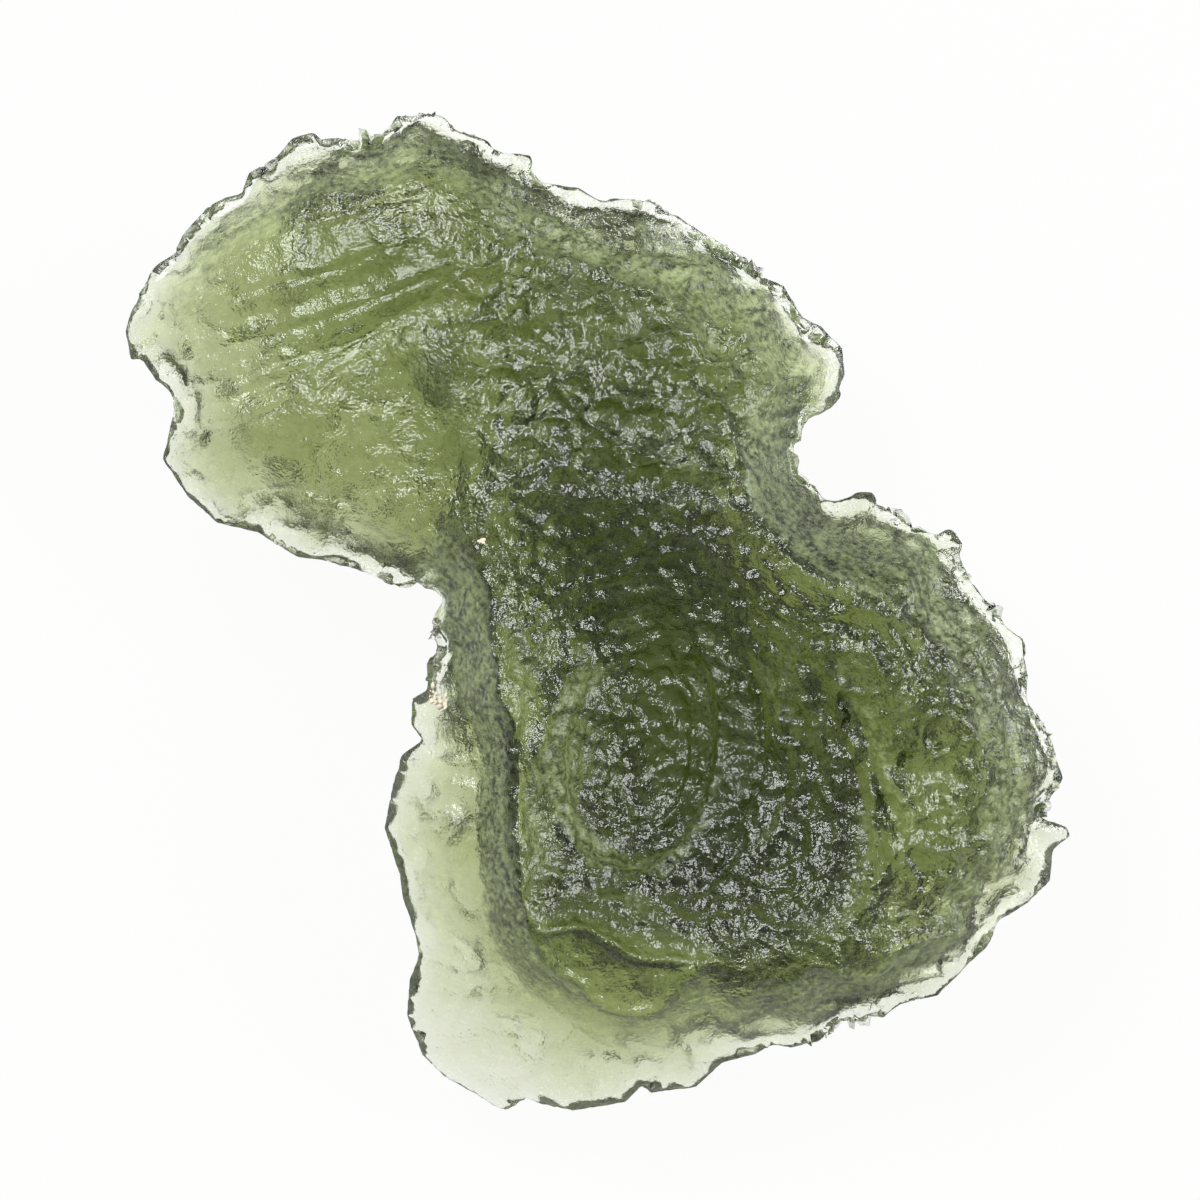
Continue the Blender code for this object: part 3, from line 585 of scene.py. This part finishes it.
def flow_rings(points):
    """How far out each point lies across the flow rings."""
    x = points[:, 0] - FLOW_CENTRE[0]
    y = points[:, 1] - FLOW_CENTRE[1]
    lobe = smooth_step((y * LOBE_SLANT - x - LOBE_FROM) / LOBE_RANGE)
    squash = 1.0 - (1.0 - LOBE_STRETCH) * lobe
    sway = [0.5 + 0.5 * noise.noise(Vector(point * FLOW_SWAY_COUNT)) for point in points]
    return np.sqrt(x * x * squash + y * y) + np.array(sway) * FLOW_SWAY


def new_tree(name, shape, inputs):
    """A geometry tree that takes a shape and named inputs, with the wire that they come from."""
    tree = bpy.data.node_groups.new(name, "GeometryNodeTree")
    face = tree.interface
    face.new_socket(shape, in_out="INPUT", socket_type="NodeSocketGeometry")
    for label, kind in inputs.items():
        face.new_socket(label, in_out="INPUT", socket_type="NodeSocket" + kind)
    face.new_socket("Shape", in_out="OUTPUT", socket_type="NodeSocketGeometry")
    return tree, Wire(tree).node("NodeGroupInput")


def etching_tree():
    """Cups eaten into a surface: each is a round hollow, and neighbours meet in a sharp crest."""
    tree, enter = new_tree("etched_cups", "Stone", {
        "Cup width": "Float", "Cup depth": "Float", "Offset": "Float", "Share": "String",
        "Glass": "Material"})
    width = enter.output("Cup width")
    depth = enter.output("Cup depth")
    offset = enter.output("Offset")
    share = enter.node("GeometryNodeInputNamedAttribute", {"data_type": "FLOAT"},
                       {"Name": enter.output("Share")})
    spot = enter.node("GeometryNodeInputPosition").moved(enter.joined(offset, offset, offset))
    sway = spot.scaled(CUP_SWAY_COUNT).noise(1.0, 1.0) - 0.5
    spot = spot.moved(enter.joined(*(sway * part for part in CUP_SWAY)))
    away = spot.scaled(1.0 / width).cells(1.0) / CUP_REACH
    cup = (1.0 - away * away).at_least(0.0)
    shift = enter.node("GeometryNodeInputNormal").scaled(cup * share * depth * -1.0)
    moved = enter.node("GeometryNodeSetPosition", sockets={
        "Geometry": enter.output("Stone"), "Offset": shift})
    moved.finished(enter.output("Glass"))
    return tree


def grain_tree():
    """Fine ragged grain that is strongest on the rim, where the surface faces sideways."""
    tree, enter = new_tree("ragged_grain", "Stone", {
        "Grain height": "Float", "Rim height": "Float", "Grain width": "Float", "Glass": "Material"})
    share = enter.node("GeometryNodeInputNamedAttribute", {"data_type": "FLOAT"}, {"Name": "ragged"})
    rim = enter.node("GeometryNodeInputNamedAttribute", {"data_type": "FLOAT"}, {"Name": "rim"})
    spot = enter.node("GeometryNodeInputPosition").scaled(1.0 / enter.output("Grain width"))
    grain = spot.noise(1.0, GRAIN_DETAIL, GRAIN_HARSHNESS) - 0.5
    height = enter.output("Grain height") * share + enter.output("Rim height") * rim
    shift = enter.node("GeometryNodeInputNormal").scaled(grain * 2.0 * height)
    moved = enter.node("GeometryNodeSetPosition", sockets={
        "Geometry": enter.output("Stone"), "Offset": shift})
    moved.finished(enter.output("Glass"))
    return tree


def clay_tree():
    """Grains of clay scattered over a patch, most of them near its middle."""
    tree, enter = new_tree("clay_grains", "Patch", {
        "Crowd": "Float", "Grain": "Float", "Seed": "Int", "Clay": "Material"})
    near = enter.node("GeometryNodeInputNamedAttribute", {"data_type": "FLOAT"}, {"Name": "near"})
    spots = enter.node("GeometryNodeDistributePointsOnFaces", sockets={
        "Mesh": enter.output("Patch"), "Density": near * enter.output("Crowd"), "Seed": enter.output("Seed")})
    grain = enter.node("GeometryNodeMeshIcoSphere", sockets={"Radius": 1.0, "Subdivisions": 2})
    lump = enter.node("GeometryNodeInputPosition").noise(CLAY_LUMPS, 1.0) - CLAY_SUNK
    grain = enter.node("GeometryNodeSetPosition", sockets={
        "Geometry": grain, "Offset": enter.node("GeometryNodeInputNormal").scaled(lump)})
    size = enter.node("FunctionNodeRandomValue", {"data_type": "FLOAT"}, {
        "Min": CLAY_LEAST, "Max": CLAY_MOST, "Seed": enter.output("Seed")}, out=1) * enter.output("Grain")
    turn = enter.node("FunctionNodeRandomValue", {"data_type": "FLOAT_VECTOR"}, {
        "Max": CLAY_TURN, "Seed": enter.output("Seed")})
    scale = enter.joined(size, size, size * CLAY_FLATNESS)
    placed = enter.node("GeometryNodeInstanceOnPoints", sockets={
        "Points": spots, "Instance": grain, "Rotation": turn, "Scale": scale})
    placed.finished(enter.output("Clay"))
    return tree


def add_nodes(thing, tree, **values):
    """Give an object a node modifier and set its inputs by their identifiers."""
    made = thing.modifiers.new(tree.name, "NODES")
    made.node_group = tree
    known = {item.name.lower().replace(" ", "_"): item.identifier
             for item in tree.interface.items_tree if item.in_out == "INPUT"}
    for name, value in values.items():
        made[known[name]] = value
    return made


def etched_stone(material):
    """The stone, its skin carved and etched, in metres."""
    stone = fine_skin("moldavite_glass")
    mark_zones(stone.data)
    cups = etching_tree()
    for share, width, depth, offset in ETCHINGS:
        add_nodes(stone, cups, cup_width=width, cup_depth=depth, offset=offset, share=share, glass=material)
    add_nodes(stone, grain_tree(), grain_height=GRAIN_HEIGHT, rim_height=RIM_HEIGHT,
              grain_width=GRAIN_WIDTH, glass=material)
    bake(stone)
    carve_lines(stone.data)
    place(stone.data, coordinates(stone.data) * MM)
    stone.data.shade_smooth()
    return stone


def clay_patch(stone):
    """The bits of the stone's front that clay sticks to, in millimetres."""
    points = coordinates(stone.data) / MM
    near = np.zeros(len(points))
    for x, y, radius in CLAY_PATCHES:
        gap = np.linalg.norm(points[:, :2] - (x, y), axis=1)
        near = np.maximum(near, smooth_step(CLAY_FADE - CLAY_FADE * gap / radius))
    near = near * (normals(stone.data)[:, 2] > CLAY_FACING)
    faces = [tuple(face.vertices) for face in stone.data.polygons
             if all(near[corner] > 0.0 for corner in face.vertices)]
    used = sorted({corner for face in faces for corner in face})
    order = {corner: k for k, corner in enumerate(used)}
    mesh = bpy.data.meshes.new("clay_patch")
    mesh.from_pydata(points[used].tolist(), [], [[order[corner] for corner in face] for face in faces])
    attribute(mesh, "near", near[used])
    return mesh


def clay_specks(stone):
    """Beige clay left in two hollows of the rim."""
    clay = shown_object("clay_specks", clay_patch(stone))
    add_nodes(clay, clay_tree(), crowd=CLAY_CROWD, grain=CLAY_GRAIN, seed=CLAY_SEED, clay=beige_clay())
    bake(clay)
    place(clay.data, coordinates(clay.data) * MM)
    clay.data.shade_smooth()
    return clay


def flow_spot(wire):
    """Coordinates that run across the flow rings and slowly along them, in millimetres."""
    across = wire.node("ShaderNodeAttribute", {"attribute_name": "across"}, out="Fac")
    along = wire.scaled(ALONG_COUNT)
    return wire.joined(across * LINES_COUNT, along.axis("X"), along.axis("Y") + along.axis("Z"))


def etched_glass():
    """Olive-green glass under a finely etched, satin skin."""
    material = bpy.data.materials.new("etched_moldavite_glass")
    material.use_nodes = True
    tree = material.node_tree
    tree.nodes.clear()
    start = Wire(tree)
    spot = start.node("ShaderNodeTexCoord", out="Object").scaled(1.0 / MM)
    etched = start.node("ShaderNodeAttribute", {"attribute_name": "etched"}, out="Fac")
    lines = flow_spot(spot).noise(1.0, 1.0, LINES_HARSHNESS)
    grain = spot.noise(GRAIN_COUNT, 1.0, GRAIN_HARSHNESS)
    height = (lines * LINE_SHARE + grain * GRAIN_SHARE) * etched
    bump = start.node("ShaderNodeBump", sockets={
        "Strength": BUMP_STRENGTH, "Distance": BUMP_DEPTH * MM, "Height": height})
    satin = start.node("ShaderNodeAttribute", {"attribute_name": "satin"}, out="Fac")
    rough = ROUGH_LEAST + (ROUGH_MOST - ROUGH_LEAST) * satin
    # Painted shade: the glass surface is tinted darker towards the lower end of the hollow
    hollow_shade = start.node("ShaderNodeAttribute", {"attribute_name": "hollow_shade"}, out="Fac")
    colour = start.mixed(hollow_shade, CLEAR_COLOUR, HOLLOW_SHADE_COLOUR)
    clear = start.node("ShaderNodeBsdfPrincipled", sockets={
        "Base Color": colour, "Roughness": rough, "IOR": GLASS_IOR,
        "Transmission Weight": 1.0, "Normal": bump})
    frosted = start.node("ShaderNodeBsdfPrincipled", sockets={
        "Base Color": FROST_COLOUR, "Roughness": FROST_ROUGHNESS, "IOR": GLASS_IOR,
        "Transmission Weight": FROST_TRANSMISSION, "Normal": bump})
    frost = start.node("ShaderNodeAttribute", {"attribute_name": "frost"}, out="Fac")
    clouds = spot.noise(FROST_COUNT, FROST_DETAIL, FROST_HARSHNESS)
    clouds = lines * FROST_LINES + clouds * FROST_CLOUDS
    frost = frost * clouds.ease(FROST_FROM, FROST_FULL)
    surface = start.node("ShaderNodeMixShader", sockets={0: frost, 1: clear, 2: frosted})
    inside = start.node("ShaderNodeVolumeAbsorption", sockets={
        "Color": GLASS_KEEPS + (1.0,), "Density": GLASS_DENSITY})
    start.node("ShaderNodeOutputMaterial", sockets={"Surface": surface, "Volume": inside})
    return material


def beige_clay():
    """Dry beige clay."""
    material = bpy.data.materials.new("beige_clay")
    material.use_nodes = True
    start = Wire(material.node_tree)
    shader = material.node_tree.nodes["Principled BSDF"]
    mottle = start.node("ShaderNodeTexCoord", out="Object").scaled(1.0 / MM).noise(CLAY_MOTTLE)
    colour = start.mixed(mottle, CLAY_DARK, CLAY_PALE)
    material.node_tree.links.new(colour.socket, shader.inputs["Base Color"])
    shader.inputs["Roughness"].default_value = CLAY_ROUGHNESS
    return material


def pale_floor():
    """A plain pale floor that glows a little, as a light table does."""
    mesh = bpy.data.meshes.new("floor")
    half = FLOOR_HALF * MM
    corners = [(-half, -half, FLOOR_LEVEL * MM), (half, -half, FLOOR_LEVEL * MM),
               (half, half, FLOOR_LEVEL * MM), (-half, half, FLOOR_LEVEL * MM)]
    mesh.from_pydata(corners, [], [(0, 1, 2, 3)])
    floor = shown_object("floor", mesh)
    material = bpy.data.materials.new("pale_floor")
    material.use_nodes = True
    shader = material.node_tree.nodes["Principled BSDF"]
    shader.inputs["Base Color"].default_value = FLOOR_COLOUR
    shader.inputs["Specular IOR Level"].default_value = 0.0
    shader.inputs["Roughness"].default_value = FLOOR_ROUGHNESS
    shader.inputs["Emission Color"].default_value = FLOOR_GLOW_COLOUR
    shader.inputs["Emission Strength"].default_value = FLOOR_GLOW
    material.cycles.emission_sampling = "NONE"
    mesh.materials.append(material)


def soft_light(name, place_mm, size, power, colour):
    """A square soft light that points at the stone."""
    data = bpy.data.lights.new(name, "AREA")
    data.size = size * MM
    data.energy = power
    data.color = colour
    light = shown_object(name, data)
    light.location = Vector(place_mm) * MM
    light.rotation_euler = (-light.location).to_track_quat("-Z", "Y").to_euler()


def studio():
    """Plain soft studio light."""
    world = bpy.data.worlds.new("studio")
    bpy.context.scene.world = world
    world.use_nodes = True
    sky = world.node_tree.nodes["Background"]
    sky.inputs["Color"].default_value = WORLD_COLOUR
    sky.inputs["Strength"].default_value = WORLD_STRENGTH
    for light in SOFT_LIGHTS:
        soft_light(*light)
    bpy.context.scene.view_settings.view_transform = "Standard"


def camera():
    """A long lens straight above the stone, framed as the photograph is."""
    data = bpy.data.cameras.new("camera")
    data.sensor_width = SENSOR
    data.lens = SENSOR * CAMERA_DISTANCE / (PHOTO_SIZE * MM_PER_PIXEL)
    data.clip_start = NEAREST_SEEN
    view = shown_object("camera", data)
    x = (PHOTO_SIZE / 2 - CENTRE_PIXEL[0]) * MM_PER_PIXEL
    y = (CENTRE_PIXEL[1] - PHOTO_SIZE / 2) * MM_PER_PIXEL
    view.location = Vector((x, y, SHARP_LEVEL + CAMERA_DISTANCE)) * MM
    bpy.context.scene.camera = view


camera()
studio()
pale_floor()
glass = etched_stone(etched_glass())
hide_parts("moldavite")
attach(glass, "root")
clay = clay_specks(glass)
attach(clay, "root")
